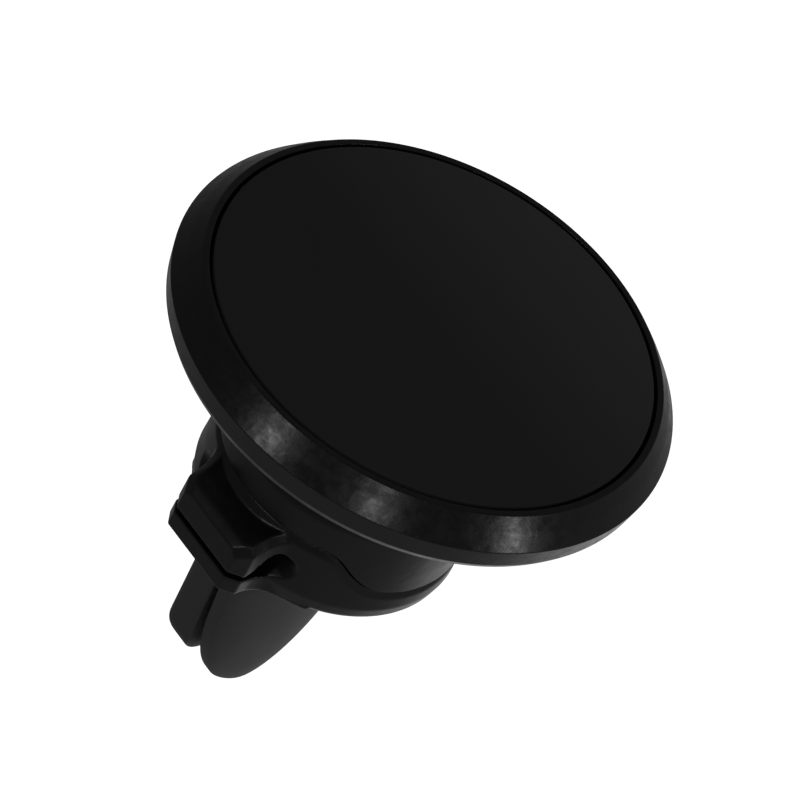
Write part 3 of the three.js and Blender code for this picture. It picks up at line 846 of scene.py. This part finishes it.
def make_pin(label, side):
    low, high = JAW_CENTRE - PIN["half"], JAW_CENTRE + PIN["half"]
    z = side * JAW_OFFSET
    pin = cross_rod(f"{label}_axle", PIN["radius"], low, high, JAW_PIVOT, z, 32, edge=PIN["edge"])
    mount(pin, "clip_body", "steel", [f"{label}_jaw_pin"])


def make_spring(label, side):
    """A torsion spring round the jaw's pin, with a leg at each end of its coil."""
    steps = COIL["turns"] * 24
    z = side * JAW_OFFSET
    x0 = JAW_CENTRE - COIL["half"]
    points = [(x0, JAW_PIVOT + COIL["leg"], z + side * COIL["radius"])]
    for i in range(steps + 1):
        angle = 2 * pi * (COIL["turns"] + 0.5) * i / steps
        x = x0 + 2 * COIL["half"] * i / steps
        points.append((x, JAW_PIVOT - COIL["radius"] * sin(angle), z + side * COIL["radius"] * cos(angle)))
    end = points[-1]
    points.append((end[0], JAW_PIVOT + COIL["leg"] - 0.8, end[2]))
    wire = bpy.data.curves.new("wire", "CURVE")
    wire.dimensions = "3D"
    wire.bevel_depth = COIL["wire"]
    wire.bevel_resolution = 3
    wire.use_fill_caps = True
    line = wire.splines.new("POLY")
    line.points.add(len(points) - 1)
    for spot, place in zip(line.points, points):
        spot.co = (*place, 1)
    coil = bpy.data.objects.new(f"{label}_coil_spring", wire)
    bpy.context.scene.collection.objects.link(coil)
    graph = bpy.context.evaluated_depsgraph_get()
    mesh = bpy.data.meshes.new_from_object(coil.evaluated_get(graph))
    bpy.data.objects.remove(coil)
    spring = bpy.data.objects.new(f"{label}_coil_spring", mesh)
    bpy.context.scene.collection.objects.link(spring)
    mount(spring, "clip_body", "steel", [f"{label}_jaw_spring"])


def keep_cad_nodes():
    """The inner pieces whose CAD shape is right keep it, with a finished material."""
    for node, slot in (
        ("magnet_carrier", "acetal"),
        ("mid_plate", "steel"),
        ("upper_jaw_core", "acetal"),
        ("lower_jaw_core", "acetal"),
    ):
        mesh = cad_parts[node].data
        mesh.materials.clear()
        mesh.materials.append(MATERIALS[slot])


# ---------------------------------------------------------------- stage

def make_camera():
    data = bpy.data.cameras.new("camera")
    data.lens = CAMERA_LENS
    data.sensor_width = SENSOR
    data.clip_start = 0.01
    data.clip_end = 100
    camera = bpy.data.objects.new("camera", data)
    sight, up = Vector(CAMERA_SIGHT).normalized(), Vector(CAMERA_UP)
    right = sight.cross(up).normalized()
    up = right.cross(sight)
    turn = Matrix((right, up, -sight)).transposed()
    camera.matrix_world = Matrix.Translation(Vector(CAMERA_PLACE) * MM) @ turn.to_4x4()
    bpy.context.scene.collection.objects.link(camera)
    bpy.context.scene.camera = camera


def make_floor(low):
    half = FLOOR_SIZE / 2
    z = low - FLOOR_DROP
    corners = [(-half, -half, z), (half, -half, z), (half, half, z), (-half, half, z)]
    floor = mesh_object("floor", corners, [(0, 1, 2, 3)])
    made, _, shader = new_material("floor_paint")
    shader.inputs["Base Color"].default_value = (0.9, 0.9, 0.9, 1)
    shader.inputs["Roughness"].default_value = 0.9
    shader.inputs["Emission Color"].default_value = (1, 1, 1, 1)
    shader.inputs["Emission Strength"].default_value = 0.95
    floor.data.materials.append(made)
    floor.visible_glossy = False
    floor.visible_diffuse = False
    floor.visible_shadow = False


def make_lights():
    for name, direction, power in SOFTBOXES:
        data = bpy.data.lights.new(name, "AREA")
        data.shape = "DISK"
        data.size = SOFTBOX_SIZE
        data.energy = power
        lamp = bpy.data.objects.new(name, data)
        towards = Vector(direction).normalized()
        place = Vector((0, FACE_DEPTH, 0)) + towards * SOFTBOX_DISTANCE
        turn = towards.to_track_quat("Z", "Y").to_matrix()
        lamp.matrix_world = Matrix.Translation(place) @ turn.to_4x4()
        bpy.context.scene.collection.objects.link(lamp)


def bright_side(tree, sky, direction, low, high, radiance):
    """Radiance that rises from none at the cosine low to its full strength at high."""
    facing = tree.nodes.new("ShaderNodeVectorMath")
    facing.operation = "DOT_PRODUCT"
    facing.inputs[1].default_value = Vector(direction).normalized()
    tree.links.new(sky.outputs["Generated"], facing.inputs[0])
    spread = tree.nodes.new("ShaderNodeMapRange")
    spread.interpolation_type = "SMOOTHSTEP"
    spread.inputs["From Min"].default_value = low
    spread.inputs["From Max"].default_value = high
    spread.inputs["To Max"].default_value = radiance
    tree.links.new(facing.outputs["Value"], spread.inputs["Value"])
    return spread.outputs["Result"]


def make_world():
    """A white backdrop for the camera, and for the object a soft glow that is brightest behind it."""
    world = bpy.data.worlds.new("studio")
    world.use_nodes = True
    tree = world.node_tree
    nodes, links = tree.nodes, tree.links
    sky = nodes.new("ShaderNodeTexCoord")
    strength = None
    for side in BRIGHT_SIDES:
        total = nodes.new("ShaderNodeMath")
        total.operation = "ADD"
        total.inputs[0].default_value = AMBIENT
        if strength:
            links.new(strength, total.inputs[0])
        links.new(bright_side(tree, sky, *side), total.inputs[1])
        strength = total.outputs["Value"]
    glow = nodes["Background"]
    glow.inputs["Color"].default_value = (1, 1, 1, 1)
    links.new(strength, glow.inputs["Strength"])
    white = nodes.new("ShaderNodeBackground")
    white.inputs["Color"].default_value = (1, 1, 1, 1)
    path = nodes.new("ShaderNodeLightPath")
    mix = nodes.new("ShaderNodeMixShader")
    links.new(path.outputs["Is Camera Ray"], mix.inputs["Fac"])
    links.new(glow.outputs["Background"], mix.inputs[1])
    links.new(white.outputs["Background"], mix.inputs[2])
    links.new(mix.outputs["Shader"], nodes["World Output"].inputs["Surface"])
    bpy.context.scene.world = world
    bpy.context.scene.view_settings.view_transform = "Standard"


def build():
    make_camera()
    make_face_pad()
    make_bezel()
    make_back_cover()
    make_magnets()
    make_discs()
    make_rings()
    make_ball_stud()
    make_liner()
    make_upper_housing()
    make_lower_housing()
    make_housing_screws()
    for label, side in (("upper", 1), ("lower", -1)):
        make_tongue(label)
        make_pin(label, side)
        make_spring(label, side)
    keep_cad_nodes()
    make_floor(CAD_BOX[0][2])
    make_lights()
    make_world()


build()
